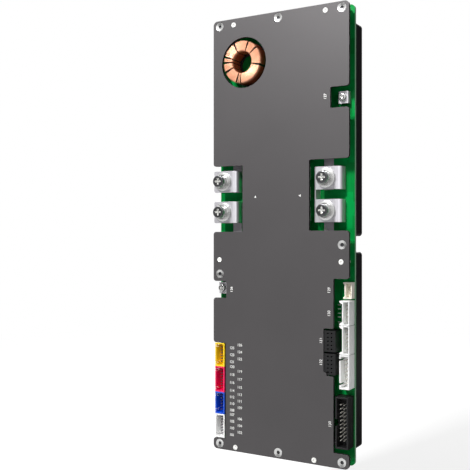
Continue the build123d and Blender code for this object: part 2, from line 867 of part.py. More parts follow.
cell_x = left_edge_x + cell_connector_inset + cell_connector_width / 2
cell_floor_y = board_front_y - cell_connector_height + cell_connector_depth
cell_pins = []
top_z = cell_connector_top_z
for colour, ways, length in zip(cell_connector_colours, cell_pin_counts, cell_connector_lengths):
    z = top_z - length / 2
    housing = shroud(cell_x, z, cell_connector_width, length, cell_connector_height,
                     cell_connector_wall, cell_connector_depth)
    slot_x = cell_x - cell_connector_width / 2 + cell_connector_wall / 2
    for end in (-1, 1):
        slot_z = z + end * (length / 2 - 2 * cell_connector_wall - cell_connector_slot / 2)
        housing -= block(slot_x, slot_z, cell_connector_wall, cell_connector_slot,
                         board_front_y - cell_connector_height, cell_connector_slot_depth)
    save(colour + "_cell_connector", housing)
    for i in range(ways):
        pin_z = z + (i - (ways - 1) / 2) * cell_pin_pitch
        cell_pins.append(pin(cell_x, pin_z, pin_width, cell_floor_y, pin_height))
    top_z -= length + cell_connector_seam
save("cell_connector_pins", *cell_pins)


# Signal connectors down the right edge

def eared_shroud(high_x, top_z, width, length, height, wall, cavity_depth, ear, ear_length):
    """An open box whose two ends are wider than its middle."""
    x = high_x - width / 2
    z = top_z - length / 2
    low_x = high_x - width
    body = shroud(x, z, width, length, height, wall, cavity_depth)
    front_y = board_front_y - height
    for end in (-1, 1):
        tip_z = z + end * length / 2
        root_z = tip_z - end * ear_length
        flat_z = tip_z - end * ear_length * ear_flat_share
        points = [(low_x, tip_z), (low_x - ear, tip_z), (low_x - ear, flat_z), (low_x, root_z)]
        body += panel(make_face(Polyline(*points, close=True)), front_y, height)
    return body


def pin_row(x, z, ways, pitch, width, floor_y, height):
    """One straight row of pins, centred on z."""
    return [pin(x, z + (i - (ways - 1) / 2) * pitch, width, floor_y, height) for i in range(ways)]


signal_x = right_edge_x - signal_inset
save("display_connector", eared_shroud(signal_x, display_top_z, display_width, display_length,
                                       display_height, slim_wall, display_depth,
                                       display_ear, display_ear_length))
display_floor_y = board_front_y - display_height + display_depth
save("display_connector_pins", *pin_row(signal_x - display_width / 2, display_top_z - display_length / 2,
                                        display_pin_count, display_pitch, pin_width, display_floor_y,
                                        display_pin_height))

signal_pins = []
slim_floor_y = board_front_y - slim_height + slim_depth
top_z = slim_top_z
for name, length, ways in zip(("upper", "middle"), slim_lengths, slim_pin_counts):
    housing = eared_shroud(signal_x, top_z, slim_width, length, slim_height, slim_wall, slim_depth,
                           slim_ear, slim_ear_length)
    save(name + "_signal_connector", housing)
    signal_pins += pin_row(signal_x - slim_width / 2, top_z - length / 2, ways, slim_pitch,
                           pin_width, slim_floor_y, pin_height)
    top_z -= length + connector_seam

wide_z = top_z - wide_length / 2
wide_x = signal_x - wide_width / 2
wide_connector = shroud(wide_x, wide_z, wide_width, wide_length, slim_height, cell_connector_wall, wide_depth)
for end in (-1, 1):
    slot_z = wide_z + end * (wide_length / 2 - wide_slot_inset)
    slot_x = wide_x - wide_width / 2 + cell_connector_wall / 2
    wide_connector -= block(slot_x, slot_z, cell_connector_wall, wide_slot_width,
                            board_front_y - slim_height, wide_depth)
save("lower_signal_connector", wide_connector)
wide_floor_y = board_front_y - slim_height + wide_depth
signal_pins += pin_row(wide_x, wide_z, wide_pin_count, wide_pitch, pin_width, wide_floor_y, pin_height)
save("signal_connector_pins", *signal_pins)


# Box header: black, two rows of pins, with a key slot in its inner wall

header_x = header_low_x + header_width / 2
header_z = header_top_z - header_length / 2
header_front_y = board_front_y - header_height
data_header = shroud(header_x, header_z, header_width, header_length, header_height,
                     header_wall, header_depth)
data_header -= block(header_low_x + header_wall / 2, header_z, header_wall, header_key_width,
                     header_front_y, header_key_depth)
save("data_header", data_header)
header_floor_y = header_front_y + header_depth
header_pins = []
for side in (-1, 1):
    header_pins += pin_row(header_x + side * header_pitch / 2, header_z, header_pin_count, header_pitch,
                           pin_width, header_floor_y, header_pin_height)
save("data_header_pins", *header_pins)


# Black sockets with two rows of square holes and a contact in each; the lower one has a
# corner cut away, so that it fits only one way round

socket_front_y = board_front_y - socket_height
contacts = []
top_z = socket_top_z
for name in socket_names:
    z = top_z - socket_length / 2
    socket = block(socket_x, z, socket_width, socket_length, socket_front_y, socket_height)
    for side in (-1, 1):
        x = socket_x + side * socket_row_pitch / 2
        for i in range(socket_pin_count):
            hole_z = z + (i - (socket_pin_count - 1) / 2) * socket_pitch
            socket -= block(x, hole_z, socket_hole_width, socket_hole_width,
                            socket_front_y, socket_hole_depth)
            contacts.append(pin(x, hole_z, contact_width, socket_front_y + socket_hole_depth, contact_height))
    if name == socket_names[-1]:
        key_x = socket_x - (socket_width - socket_key_width) / 2
        key_z = socket_bottom_z + socket_key_height / 2
        socket -= block(key_x, key_z, socket_key_width, socket_key_height, socket_front_y, socket_height)
    save(name + "_expansion_socket", socket)
    top_z -= socket_length + socket_gap
save("expansion_socket_contacts", *contacts)


# Power transistors in two columns between the bus bars, and the pads on them

def transistor(x, z, side):
    """A moulded package: a body, a metal tab and two leads, flat on the board."""
    body = block(x, z, transistor_body_length, transistor_body_width,
                 board_front_y - transistor_height, transistor_height)
    tab_x = x + side * (transistor_body_length + transistor_tab_length) / 2
    body += block(tab_x, z, transistor_tab_length, transistor_tab_width,
                  board_front_y - transistor_tab_thickness, transistor_tab_thickness)
    lead_x = x - side * (transistor_body_length + transistor_lead_length) / 2
    for end in (-1, 1):
        body += block(lead_x, z + end * transistor_lead_pitch, transistor_lead_length, transistor_lead_width,
                      board_front_y - transistor_lead_thickness, transistor_lead_thickness)
    return body


transistor_low_z = straps_low_z + transistor_rise
transistor_room = high_edge_z - transistor_high_drop - transistor_low_z - transistor_body_width
transistor_count = int(transistor_room / transistor_pitch) + 1
transistor_heights = [
    transistor_low_z + transistor_body_width / 2 + i * transistor_pitch for i in range(transistor_count)
]
save("charge_transistors", *[transistor(-transistor_column_x, z, -1) for z in transistor_heights])
save("discharge_transistors", *[transistor(transistor_column_x, z, 1) for z in transistor_heights])

gap_pad_thickness = board_gap - transistor_height
gap_pad_height = transistor_heights[-1] - transistor_heights[0] + transistor_body_width - 2 * gap_pad_margin
gap_pad_z = (transistor_heights[0] + transistor_heights[-1]) / 2
save("plate_gap_pads", *[
    block(side * transistor_column_x, gap_pad_z, transistor_body_length - 2 * gap_pad_margin,
          gap_pad_height, plate_back_y, gap_pad_thickness)
    for side in (-1, 1)
])


# Current shunts: low metal bridges below the transistors

def shunt(x, z):
    """A strip with a raised middle and two feet."""
    body = block(x, z, shunt_length, shunt_width, board_front_y - shunt_height, shunt_height)
    under = shunt_length - 2 * shunt_foot
    return body - block(x, z, under, shunt_width, board_front_y - shunt_height + shunt_thickness,
                        shunt_height - shunt_thickness)


shunt_z = straps_low_z - shunt_fall
save("current_shunts", *[shunt(side * shunt_column_x, shunt_z) for side in (-1, 1)])


# Chips: flat bodies with rows of leads

lead_front_y = board_front_y - chip_stand - chip_height / 2
lead_depth = board_front_y - lead_front_y


def chip(x, z, width, length, lead_count, pitch):
    """A moulded chip with a row of leads down its left and its right."""
    body = block(x, z, width, length, board_front_y - chip_stand - chip_height, chip_height)
    for side in (-1, 1):
        lead_x = x + side * (width + chip_lead_length) / 2
        for i in range(lead_count):
            lead_z = z + (i - (lead_count - 1) / 2) * pitch
            body += block(lead_x, lead_z, chip_lead_length, pitch / 2, lead_front_y, lead_depth)
    return body


def end_leads(x, z, length, lead_count, pitch):
    """Rows of leads along the two ends of a square chip."""
    leads = []
    for end in (-1, 1):
        lead_z = z + end * (length + chip_lead_length) / 2
        for i in range(lead_count):
            lead_x = x + (i - (lead_count - 1) / 2) * pitch
            leads.append(block(lead_x, lead_z, pitch / 2, chip_lead_length, lead_front_y, lead_depth))
    return leads


resistor_columns = [distance - land_x for distance in resistor_distances]
monitor_x = resistor_columns[-1] + monitor_distance
controller_z = low_edge_z + controller_height_above
controller = chip(controller_x, controller_z, controller_width, controller_width,
                  controller_lead_count, controller_lead_pitch)
for lead in end_leads(controller_x, controller_z, controller_width,
                      controller_lead_count, controller_lead_pitch):
    controller += lead
save("main_controller", controller)
save("cell_monitor_chips", *[
    chip(monitor_x, low_edge_z + height, monitor_width, monitor_length, monitor_lead_count, chip_lead_pitch)
    for height in monitor_heights
])
save("isolator_chips", *[
    chip(right_edge_x - isolator_inset, low_edge_z + height, isolator_width, isolator_length,
         isolator_lead_count, chip_lead_pitch)
    for height in isolator_heights
])
save("power_supply_chip", chip(supply_x, high_edge_z - supply_drop, supply_width, supply_length,
                               supply_lead_count, chip_lead_pitch))


# Round can capacitors, a boxed coil and the balancing resistors

def can_capacitor(x, z):
    """A round can on a square plastic base."""
    base = block(x, z, can_base_width, can_base_width, board_front_y - can_base_height, can_base_height)
    return base + rod(x, z, can_diameter, board_front_y - can_height, can_height)


can_pitch = can_base_width + can_spacing
can_first_x = right_edge_x - can_inset - (max(can_row_counts) - 1) * can_pitch
save("filter_capacitors", *[
    can_capacitor(can_first_x + i * can_pitch, high_edge_z - can_drop + row * can_row_pitch)
    for row, count in enumerate(can_row_counts)
    for i in range(count)
])

coil_x = can_first_x - can_base_width / 2 - can_spacing - coil_width / 2
coil_place = Pos(coil_x, high_edge_z - coil_drop)
coil_outline = coil_place * RectangleRounded(coil_width, coil_width, coil_corner_radius)
save("power_coil", panel(coil_outline, board_front_y - coil_height, coil_height))

save("balance_resistors", *[
    block(x, low_edge_z + resistor_high_height - i * resistor_pitch,
          resistor_length, resistor_width, board_front_y - resistor_height, resistor_height)
    for x in resistor_columns
    for i in range(resistor_row_count)
])
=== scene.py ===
import math
import bmesh
import bpy
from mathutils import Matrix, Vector


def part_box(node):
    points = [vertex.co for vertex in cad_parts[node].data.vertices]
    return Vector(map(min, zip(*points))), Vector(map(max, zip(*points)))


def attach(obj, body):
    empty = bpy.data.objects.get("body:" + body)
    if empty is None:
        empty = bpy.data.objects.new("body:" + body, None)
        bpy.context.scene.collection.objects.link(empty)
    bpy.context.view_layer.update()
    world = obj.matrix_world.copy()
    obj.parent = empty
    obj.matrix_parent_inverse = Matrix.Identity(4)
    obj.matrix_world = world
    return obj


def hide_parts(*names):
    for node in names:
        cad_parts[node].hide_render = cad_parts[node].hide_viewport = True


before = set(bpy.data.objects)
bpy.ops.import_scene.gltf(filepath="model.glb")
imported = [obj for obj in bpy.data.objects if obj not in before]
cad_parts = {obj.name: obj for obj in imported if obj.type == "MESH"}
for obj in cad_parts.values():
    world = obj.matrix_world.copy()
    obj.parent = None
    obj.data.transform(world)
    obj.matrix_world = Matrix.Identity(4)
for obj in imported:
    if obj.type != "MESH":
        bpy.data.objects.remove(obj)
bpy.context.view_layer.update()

# The camera stands level with the middle of the board, about half a metre in front of it and
# a quarter of a metre to the right, so that the board's right side shows behind the plate.
camera_place = (0.2377, -0.4659, 0.0)
camera_turn = 30.67
camera_lens = 58.73
camera_film_width = 36.0
camera_near = 0.01

camera = bpy.data.objects.new("camera", bpy.data.cameras.new("camera"))
camera.data.lens = camera_lens
camera.data.sensor_width = camera_film_width
camera.data.clip_start = camera_near
camera.location = camera_place
camera.rotation_euler = (math.radians(90), 0, math.radians(camera_turn))
bpy.context.scene.collection.objects.link(camera)
bpy.context.scene.camera = camera


# The studio: a pale floor below the hanging board, soft lamps, and a white surround. Three
# dark cards, one in front at the left, one behind at the right and one just above the floor,
# give the metal something dark to reflect.
floor_z = -0.2
floor_size = 12.0
floor_grey = (0.5, 0.5, 0.5, 1)
floor_glow = 0.65
shadow_reach = 0.55
white_reach = 1.1
surround_light = 0.03
card_black = (0.02, 0.02, 0.02, 1)
low_card_z = -0.199


def seen_rays(nodes, links):
    """A socket that is 1 for the rays that show a thing, and 0 for those that light others."""
    rays = nodes.new("ShaderNodeLightPath")
    seen = rays.outputs["Is Camera Ray"]
    for kind in ("Is Glossy Ray", "Is Transmission Ray"):
        larger = nodes.new("ShaderNodeMath")
        larger.operation = "MAXIMUM"
        links.new(seen, larger.inputs[0])
        links.new(rays.outputs[kind], larger.inputs[1])
        seen = larger.outputs[0]
    return seen


def sheet(name, corners, material):
    """A flat sheet with four corners."""
    mesh = bpy.data.meshes.new(name)
    mesh.from_pydata(corners, [], [(0, 1, 2, 3)])
    mesh.materials.append(material)
    piece = bpy.data.objects.new(name, mesh)
    bpy.context.scene.collection.objects.link(piece)
    return piece


bpy.context.scene.view_settings.view_transform = "Standard"
world = bpy.data.worlds.new("white_surround")
bpy.context.scene.world = world
world.use_nodes = True
nodes = world.node_tree.nodes
links = world.node_tree.links
nodes.clear()
dim = nodes.new("ShaderNodeBackground")
dim.inputs["Color"].default_value = (1, 1, 1, 1)
dim.inputs["Strength"].default_value = surround_light
white = nodes.new("ShaderNodeBackground")
white.inputs["Color"].default_value = (1, 1, 1, 1)
white.inputs["Strength"].default_value = 1.0
dim_or_white = nodes.new("ShaderNodeMixShader")
links.new(seen_rays(nodes, links), dim_or_white.inputs[0])
links.new(dim.outputs[0], dim_or_white.inputs[1])
links.new(white.outputs[0], dim_or_white.inputs[2])
sky = nodes.new("ShaderNodeOutputWorld")
links.new(dim_or_white.outputs[0], sky.inputs["Surface"])

floor_paint = bpy.data.materials.new("floor_paint")
floor_paint.use_nodes = True
nodes = floor_paint.node_tree.nodes
links = floor_paint.node_tree.links
nodes.clear()
seen = seen_rays(nodes, links)
matt = nodes.new("ShaderNodeBsdfDiffuse")
matt.inputs["Color"].default_value = floor_grey
glow = nodes.new("ShaderNodeEmission")
glow.inputs["Strength"].default_value = floor_glow
no_glow = nodes.new("ShaderNodeEmission")
no_glow.inputs["Strength"].default_value = 0.0
shown_glow = nodes.new("ShaderNodeMixShader")
links.new(seen, shown_glow.inputs[0])
links.new(no_glow.outputs[0], shown_glow.inputs[1])
links.new(glow.outputs[0], shown_glow.inputs[2])
near_floor = nodes.new("ShaderNodeAddShader")
links.new(matt.outputs[0], near_floor.inputs[0])
links.new(shown_glow.outputs[0], near_floor.inputs[1])
where = nodes.new("ShaderNodeTexCoord")
distance = nodes.new("ShaderNodeVectorMath")
distance.operation = "LENGTH"
links.new(where.outputs["Object"], distance.inputs[0])
fade = nodes.new("ShaderNodeMapRange")
fade.interpolation_type = "SMOOTHSTEP"
fade.inputs["From Min"].default_value = shadow_reach
fade.inputs["From Max"].default_value = white_reach
links.new(distance.outputs["Value"], fade.inputs["Value"])
far_seen = nodes.new("ShaderNodeMath")
far_seen.operation = "MULTIPLY"
links.new(fade.outputs["Result"], far_seen.inputs[0])
links.new(seen, far_seen.inputs[1])
far_floor = nodes.new("ShaderNodeEmission")
far_floor.inputs["Strength"].default_value = 1.0
near_or_far = nodes.new("ShaderNodeMixShader")
links.new(far_seen.outputs[0], near_or_far.inputs[0])
links.new(near_floor.outputs[0], near_or_far.inputs[1])
links.new(far_floor.outputs[0], near_or_far.inputs[2])
ground = nodes.new("ShaderNodeOutputMaterial")
links.new(near_or_far.outputs[0], ground.inputs["Surface"])
half_floor = floor_size / 2
floor_corners = [
    (-half_floor, -half_floor, floor_z),
    (half_floor, -half_floor, floor_z),
    (half_floor, half_floor, floor_z),
    (-half_floor, half_floor, floor_z),
]
studio_floor = sheet("studio_floor", floor_corners, floor_paint)


def lamp(name, place, target, width, height, power):
    """A soft rectangular lamp that points at a target."""
    light = bpy.data.lights.new(name, "AREA")
    light.shape = "RECTANGLE"
    light.size = width
    light.size_y = height
    light.energy = power
    holder = bpy.data.objects.new(name, light)
    holder.location = place
    holder.rotation_euler = (Vector(target) - Vector(place)).to_track_quat("-Z", "Y").to_euler()
    bpy.context.scene.collection.objects.link(holder)


lamp("key_lamp", place=(-0.15, -0.66, 0.61), target=(0, 0, 0.06), width=0.16, height=0.16, power=11)
lamp("side_lamp", place=(1.3, -1.0, 0.5), target=(0, 0, 0), width=0.8, height=1.4, power=6)
lamp("top_lamp", place=(0.1, 0.1, 1.5), target=(0, 0, 0), width=1.0, height=1.0, power=3)
lamp("back_lamp", place=(-0.6, 1.6, 0.8), target=(0, 0, 0), width=1.2, height=1.2, power=20)


def upright(first, last, low_z, high_z):
    """The corners of an upright sheet above a line from one place to another."""
    return [(*first, low_z), (*last, low_z), (*last, high_z), (*first, high_z)]


card_paint = bpy.data.materials.new("card_paint")
card_paint.use_nodes = True
card_paint.node_tree.nodes["Principled BSDF"].inputs["Base Color"].default_value = card_black
card_corners = {
    "front_card": upright((-1.35, -0.75), (-0.15, -1.45), -0.9, 0.22),
    "right_card": upright((0.1, 0.95), (1.2, 0.15), -0.8, 0.8),
    "low_card": [
        (0.06, -0.3, low_card_z),
        (0.9, -0.3, low_card_z),
        (0.9, 0.5, low_card_z),
        (0.06, 0.5, low_card_z),
    ],
}
for name, corners in card_corners.items():
    card = sheet(name, corners, card_paint)
    card.visible_camera = False
    card.visible_diffuse = False
    card.visible_shadow = False


# Front plate: 2 mm aluminium sheet, blasted and anodised in gunmetal. Its notches and window
# are milled, and the cutter leaves a fine broken edge all round.
gunmetal = (78, 76, 77)
side_shade_grey = (30, 30, 31)
plate_edge = 0.00022
edge_steps = 2
joined_distance = 0.000001
flat_angle = math.radians(1)
broken_angle = math.radians(32)
smooth_angle = math.radians(40)
cut_side_slope = 0.5
coat_roughness = 0.15
patch_detail = 4
dark_patches = 0.3
light_patches = 0.7
grain_detail = 3
gloss_swing = 0.07
least_roughness = 0.02
relief_strength = 0.4


def shade(red, green, blue):
    """A colour as a screen shows it, 0 to 255, in Blender's light values."""
    channels = [value / 255 for value in (red, green, blue)]
    light = [c / 12.92 if c <= 0.04045 else ((c + 0.055) / 1.055) ** 2.4 for c in channels]
    return (*light, 1.0)


def surface(name, colour, roughness, metallic=0.0, grain=0.0003, relief=0.00001, patch=0.02,
            vary=0.06, stretch=(1, 1, 1), coat=0.0, shine=0.5):
    """A finish whose colour varies in patches, with a fine grain in its gloss and relief.

    The colour is as a screen shows it, and grain, relief and patch are lengths.
    """
    material = bpy.data.materials.new(name)
    material.use_nodes = True
    nodes = material.node_tree.nodes
    links = material.node_tree.links
    shader = nodes["Principled BSDF"]
    shader.inputs["Metallic"].default_value = metallic
    shader.inputs["Specular IOR Level"].default_value = shine
    shader.inputs["Coat Weight"].default_value = coat
    shader.inputs["Coat Roughness"].default_value = coat_roughness
    where = nodes.new("ShaderNodeTexCoord")
    spread = nodes.new("ShaderNodeMapping")
    spread.inputs["Scale"].default_value = stretch
    links.new(where.outputs["Object"], spread.inputs["Vector"])
    patches = nodes.new("ShaderNodeTexNoise")
    patches.inputs["Scale"].default_value = 1 / patch
    patches.inputs["Detail"].default_value = patch_detail
    links.new(spread.outputs["Vector"], patches.inputs["Vector"])
    tones = nodes.new("ShaderNodeValToRGB")
    base = shade(*colour)
    tones.color_ramp.elements[0].position = dark_patches
    tones.color_ramp.elements[0].color = (*[c * (1 - vary) for c in base[:3]], 1)
    tones.color_ramp.elements[1].position = light_patches
    tones.color_ramp.elements[1].color = (*[min(c * (1 + vary), 1) for c in base[:3]], 1)
    links.new(patches.outputs["Fac"], tones.inputs["Fac"])
    links.new(tones.outputs["Color"], shader.inputs["Base Color"])
    grains = nodes.new("ShaderNodeTexNoise")
    grains.inputs["Scale"].default_value = 1 / grain
    grains.inputs["Detail"].default_value = grain_detail
    links.new(spread.outputs["Vector"], grains.inputs["Vector"])
    gloss = nodes.new("ShaderNodeMapRange")
    gloss.inputs["To Min"].default_value = max(roughness - gloss_swing, least_roughness)
    gloss.inputs["To Max"].default_value = min(roughness + gloss_swing, 1)
    links.new(grains.outputs["Fac"], gloss.inputs["Value"])
    links.new(gloss.outputs["Result"], shader.inputs["Roughness"])
    bumps = nodes.new("ShaderNodeBump")
    bumps.inputs["Strength"].default_value = relief_strength
    bumps.inputs["Distance"].default_value = relief
    links.new(grains.outputs["Fac"], bumps.inputs["Height"])
    links.new(bumps.outputs["Normal"], shader.inputs["Normal"])
    return material


def settle(piece):
    """Apply the modifiers of a piece, and smooth it apart from its sharp edges."""
    ready = piece.evaluated_get(bpy.context.evaluated_depsgraph_get())
    mesh = bpy.data.meshes.new_from_object(ready)
    piece.modifiers.clear()
    piece.data = mesh
    mesh.name = piece.name
    for face in mesh.polygons:
        face.use_smooth = True
    if not mesh.has_custom_normals:
        mesh.set_sharp_from_angle(angle=smooth_angle)
    return piece


def belongs(piece, slot, *nodes):
    """The piece is part of the board and stands for CAD nodes; the slot is not used."""
    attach(piece, "root")
    if nodes:
        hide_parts(*nodes)
    return piece


def finished(node, slot, edge, *materials):
    """A copy of a CAD node with its facets joined into faces and its sharp edges broken."""
    shape = bmesh.new()
    shape.from_mesh(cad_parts[node].data)
    bmesh.ops.remove_doubles(shape, verts=shape.verts, dist=joined_distance)
    bmesh.ops.dissolve_limit(shape, angle_limit=flat_angle, verts=shape.verts, edges=shape.edges)
    for face in shape.faces:
        face.material_index = 0
    mesh = bpy.data.meshes.new(node + "_finished")
    shape.to_mesh(mesh)
    shape.free()
    for material in materials:
        mesh.materials.append(material)
    piece = bpy.data.objects.new(node + "_finished", mesh)
    bpy.context.scene.collection.objects.link(piece)
    rounding = piece.modifiers.new("edge", "BEVEL")
    rounding.width = edge
    rounding.segments = edge_steps
    rounding.limit_method = "ANGLE"
    rounding.angle_limit = broken_angle
    for face in mesh.polygons:
        face.use_smooth = True
    flats = piece.modifiers.new("flats", "WEIGHTED_NORMAL")
    flats.keep_sharp = True
    return belongs(settle(piece), slot, node)


def show_cut(piece):
    """Give the cut sides of a sheet the second of its materials."""
    for face in piece.data.polygons:
        if abs(face.normal.y) < cut_side_slope:
            face.material_index = 1


plate_finish = surface("gunmetal_anodising", gunmetal, 0.48, metallic=0.4, grain=0.00025,
                       relief=0.00002, patch=0.05, vary=0.04, shine=0.3)
# The cut sides are painted darker than the front: painted shade.
side_shade = surface("anodised_side_painted_shade", side_shade_grey, 0.5, grain=0.00025, patch=0.01, shine=0.2)
front_plate = finished("front_plate", "front_plate", plate_edge, plate_finish, side_shade)
show_cut(front_plate)


# Printing on the plate: white screen-printed ink. Each cell connector pin has its number, in
# two staggered columns, and the terminals and the other connectors are numbered after them.
# Two small triangles stand between the power terminals.
ink_and_light_white = (235, 235, 232)
ink_thickness = 0.00002
ink_spread = 0.00004
number_height = 0.0026
left_column_x = -0.0379
right_column_x = -0.0317
cell_label_tops = [-0.0761, -0.0916, -0.1104, -0.1249]
cell_label_pitches = [0.00242, 0.00275, 0.00228, 0.00233]
cell_label_counts = [6, 7, 6, 7]
first_number = 101
upward_numbers = [
    ("127", 0.0345, 0.0898),
    ("128", -0.0362, -0.0379),
    ("129", 0.0372, -0.0358),
    ("130", 0.0372, -0.0508),
    ("131", 0.0315, -0.0687),
    ("132", 0.0315, -0.0828),
    ("133", 0.0378, -0.1222),
]
mark_size = 0.0021
mark_corners = 3
terminal_marks = [(-0.0174, 0.026, 90), (0.0164, 0.026, 180)]

# The same white ink also paints a triangle of light on a bus bar.
white_ink_and_painted_light = surface("white_ink_and_painted_light", ink_and_light_white, 0.5, grain=0.0002, patch=0.004, vary=0.03)
plate_front_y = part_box("front_plate")[0].y
ink = bmesh.new()


def print_number(text, x, z, upwards):
    """Add a number to the printing, level or turned to read upwards."""
    letters = bpy.data.curves.new("number", "FONT")
    letters.body = text
    letters.size = number_height
    letters.extrude = ink_thickness / 2
    letters.offset = ink_spread
    letters.align_x = "CENTER" if upwards else "LEFT"
    letters.align_y = "CENTER"
    holder = bpy.data.objects.new("number", letters)
    bpy.context.scene.collection.objects.link(holder)
    bpy.context.view_layer.update()
    mesh = bpy.data.meshes.new_from_object(holder)
    spin = math.radians(90) if upwards else 0
    for vert in mesh.vertices:
        across, up, out = vert.co
        vert.co = (
            x + across * math.cos(spin) - up * math.sin(spin),
            plate_front_y - ink_thickness / 2 - out,
            z + across * math.sin(spin) + up * math.cos(spin),
        )
    ink.from_mesh(mesh)
    bpy.data.objects.remove(holder)
    bpy.data.meshes.remove(mesh)


number = first_number + sum(cell_label_counts) - 1
for top, pitch, count in zip(cell_label_tops, cell_label_pitches, cell_label_counts):
    in_right_column = count % 2 == 0
    for i in range(count):
        column_x = right_column_x if in_right_column else left_column_x
        print_number(str(number), column_x, top - i * pitch, False)
        in_right_column = not in_right_column
        number -= 1
for text, x, z in upward_numbers:
    print_number(text, x, z, True)
for x, z, direction in terminal_marks:
    corners = []
    for i in range(mark_corners):
        angle = math.radians(direction + i * 360 / mark_corners)
        corner = (x + mark_size / 2 * math.cos(angle), plate_front_y - ink_thickness,
                  z + mark_size / 2 * math.sin(angle))
        corners.append(ink.verts.new(corner))
    ink.faces.new(corners)
ink_mesh = bpy.data.meshes.new("plate_printing")
ink.to_mesh(ink_mesh)
ink.free()
ink_mesh.materials.append(white_ink_and_painted_light)
plate_printing = bpy.data.objects.new("plate_printing", ink_mesh)
bpy.context.scene.collection.objects.link(plate_printing)
belongs(plate_printing, "white_nylon")


# Plate screws: M3 countersunk, turned from steel and zinc plated. Each head is dished round
# a pressed hexagon socket with a conical bottom, and sits flush in the plate.
zinc_grey = (192, 192, 191)
socket_grey = (62, 62, 64)
m3_radius = 0.0015
m3_pitch = 0.0005
m3_thread_depth = 0.0002
screw_steps = 48
screw_end_radius = 0.0011
screw_end_chamfer = 0.0003
screw_head_height = 0.0017
screw_head_chamfer = 0.00008
screw_head_rim = 0.0002
screw_side_depth = 0.0002
screw_side_inset = 0.0001
screw_dish_radius = 0.0014
screw_dish_depth = 0.0005
screw_socket_across = 0.0023
screw_socket_depth = 0.0013
screw_socket_cone = 0.0002
screw_socket_tip = 0.00005
angle_margin = 0.01

zinc = surface("zinc_plating", zinc_grey, 0.27, metallic=1.0, grain=0.0004,
               relief=0.000006, patch=0.002, vary=0.05)
socket_shadow = surface("socket_shadow", socket_grey, 0.4, metallic=1.0, patch=0.002)


def solids_of(node):
    """The lowest and highest corner of each separate solid in a node."""
    shape = bmesh.new()
    shape.from_mesh(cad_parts[node].data)
    bmesh.ops.remove_doubles(shape, verts=shape.verts, dist=joined_distance)
    unseen = set(shape.verts)
    boxes = []
    for start in shape.verts:
        if start not in unseen:
            continue
        unseen.remove(start)
        reached = [start]
        members = []
        while reached:
            vert = reached.pop()
            members.append(vert.co.copy())
            for edge in vert.link_edges:
                other = edge.other_vert(vert)
                if other in unseen:
                    unseen.remove(other)
                    reached.append(other)
        low = Vector([min(c[i] for c in members) for i in range(3)])
        high = Vector([max(c[i] for c in members) for i in range(3)])
        boxes.append((low, high))
    shape.free()
    return boxes


def middle(low, high):
    """The middle of a box as seen from the front."""
    return (low.x + high.x) / 2, (low.z + high.z) / 2


def around(steps, extra=()):
    """Angles all the way round, with some extra ones put in their order."""
    even = [2 * math.pi * i / steps for i in range(steps)]
    return sorted(even + [a for a in extra if min(abs(a - b) for b in even) > angle_margin])


def hexagon(across):
    """The reach of a hexagon at an angle, with corners to the left and right."""
    return lambda angle: across / 2 / math.cos(angle % (math.pi / 3) - math.pi / 6)


def skin(shape, loops, tones=None, closed=False):
    """Join loops of corners by faces, with a tone for each step, and close the open ends."""
    pairs = list(zip(loops, loops[1:]))
    if closed:
        pairs.append((loops[-1], loops[0]))
    tones = tones or [0] * len(pairs)
    for (first, second), tone in zip(pairs, tones):
        for a in range(len(first)):
            b = (a + 1) % len(first)
            face = shape.faces.new((first[a], first[b], second[b], second[a]))
            face.material_index = tone
    if not closed:
        shape.faces.new(loops[0]).material_index = tones[0]
        shape.faces.new(loops[-1]).material_index = tones[-1]


def turned(shape, x, z, rings, angles, tones=None, closed=False):
    """Add a turned part, from rings of a depth and a radius, or of a reach at each angle."""
    loops = []
    for depth, radius in rings:
        loop = []
        for angle in angles:
            reach = radius(angle) if callable(radius) else radius
            corner = (x + reach * math.cos(angle), depth, z + reach * math.sin(angle))
            loop.append(shape.verts.new(corner))
        loops.append(loop)
    skin(shape, loops, tones, closed)


def made(name, shape, *materials):
    """Turn a finished shape into a piece."""
    bmesh.ops.recalc_face_normals(shape, faces=shape.faces)
    mesh = bpy.data.meshes.new(name)
    shape.to_mesh(mesh)
    shape.free()
    for material in materials:
        mesh.materials.append(material)
    piece = bpy.data.objects.new(name, mesh)
    bpy.context.scene.collection.objects.link(piece)
    return settle(piece)


def thread_rings(first_y, last_y, radius, pitch, depth):
    """Rings that stand for a screw's thread, from one end to the other."""
    count = int(abs(last_y - first_y) / pitch)
    step = (last_y - first_y) / count
    rings = []
    for i in range(count):
        rings.append((first_y + step * i, radius - depth))
        rings.append((first_y + step * (i + 0.5), radius))
    rings.append((last_y, radius - depth))
    return rings


screws = bmesh.new()
angles = around(screw_steps)
for low, high in solids_of("plate_screws"):
    x, z = middle(low, high)
    head_radius = (high.x - low.x) / 2
    rings = [(high.y, screw_end_radius)]
    rings += thread_rings(high.y - screw_end_chamfer, low.y + screw_head_height,
                          m3_radius, m3_pitch, m3_thread_depth)
    rings += [
        (low.y + screw_side_depth, head_radius - screw_side_inset),
        (low.y + screw_head_chamfer, head_radius),
        (low.y, head_radius - screw_head_chamfer),
        (low.y, head_radius - screw_head_rim),
        (low.y + screw_dish_depth, screw_dish_radius),
        (low.y + screw_dish_depth, hexagon(screw_socket_across)),
        (low.y + screw_socket_depth - screw_socket_cone, hexagon(screw_socket_across)),
        (low.y + screw_socket_depth, screw_socket_tip),
    ]
    tones = [0] * (len(rings) - 3) + [1, 1, 1]
    turned(screws, x, z, rings, angles, tones)
plate_screws = made("plate_screws_finished", screws, zinc, socket_shadow)
belongs(plate_screws, "steel_fasteners", "plate_screws")


# Pillars: hexagonal, nickel plated and tapped M3, with a shank pressed into the board. Only
# their sides show, in the gap behind the plate.
nickel_grey = (206, 204, 198)
pillar_edge = 0.0002
nickel = surface("bright_nickel", nickel_grey, 0.25, metallic=1.0, grain=0.0002,
                 relief=0.000008, patch=0.003, stretch=(1, 6, 1))
finished("plate_standoffs", "nickel_pillars", pillar_edge, nickel)


